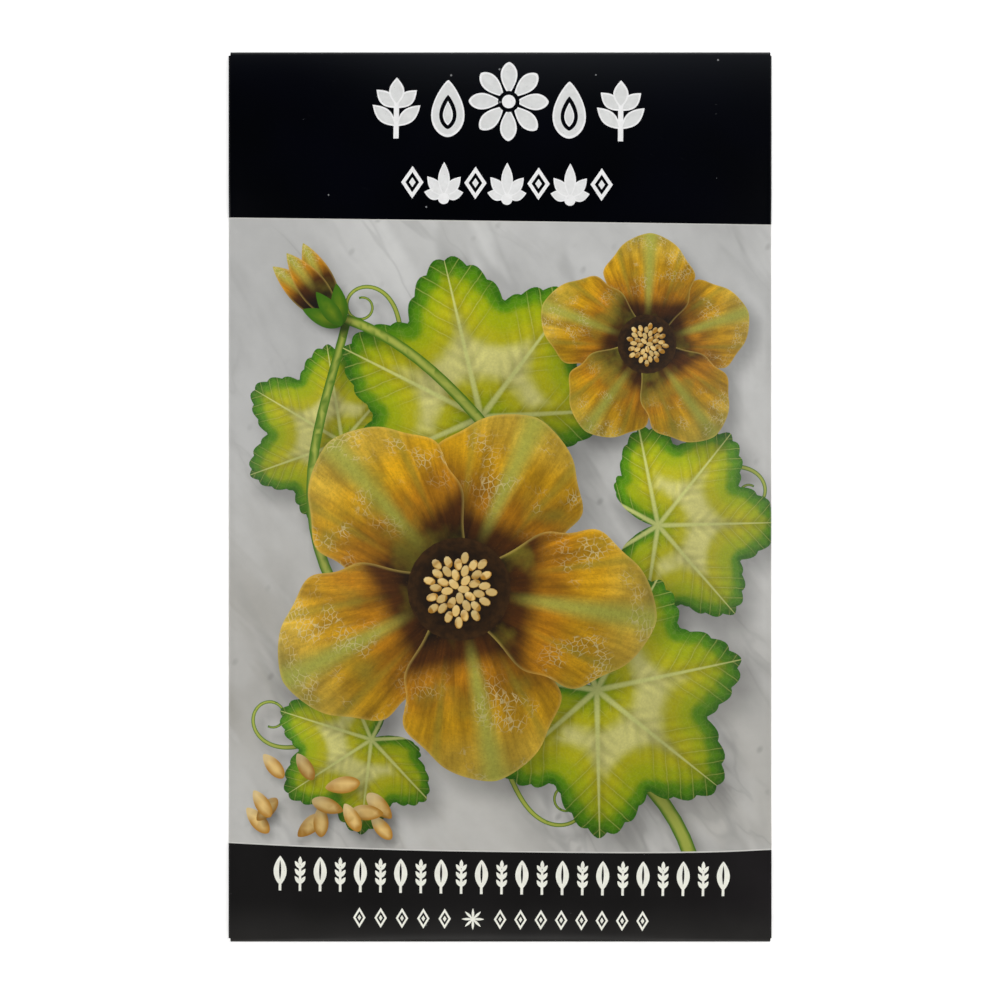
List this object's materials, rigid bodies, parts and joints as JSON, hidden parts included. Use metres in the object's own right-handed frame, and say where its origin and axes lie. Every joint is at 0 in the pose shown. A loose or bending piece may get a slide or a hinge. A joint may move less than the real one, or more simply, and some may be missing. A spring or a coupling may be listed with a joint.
{
  "type": "seed packet",
  "caption": "Sealed flat paper envelope with a printed front, folded sides and end flaps, holding loose flat seeds that crown its front slightly.",
  "frame": {"origin": "on the plane the packet lies on, under the middle of its outline", "axes": "+Z out of the printed front, +Y towards the top edge, +X to the right as the front is read"},
  "size_m": [0.083, 0.136, 0.0043],
  "materials": {
    "printed_paper": "satin",
    "seed_coat": "satin"
  },
  "bodies": {
    "root": {"paper_envelope": "printed_paper", "seed_01": "seed_coat", "seed_02": "seed_coat", "seed_03": "seed_coat", "seed_04": "seed_coat", "seed_05": "seed_coat", "seed_06": "seed_coat", "seed_07": "seed_coat", "seed_08": "seed_coat", "seed_09": "seed_coat", "seed_10": "seed_coat", "seed_11": "seed_coat", "seed_12": "seed_coat", "seed_13": "seed_coat", "seed_14": "seed_coat", "seed_15": "seed_coat", "seed_16": "seed_coat", "seed_17": "seed_coat", "seed_18": "seed_coat", "seed_19": "seed_coat", "seed_20": "seed_coat", "seed_21": "seed_coat", "seed_22": "seed_coat", "seed_23": "seed_coat", "seed_24": "seed_coat", "seed_25": "seed_coat"}
  },
  "joints": []
}
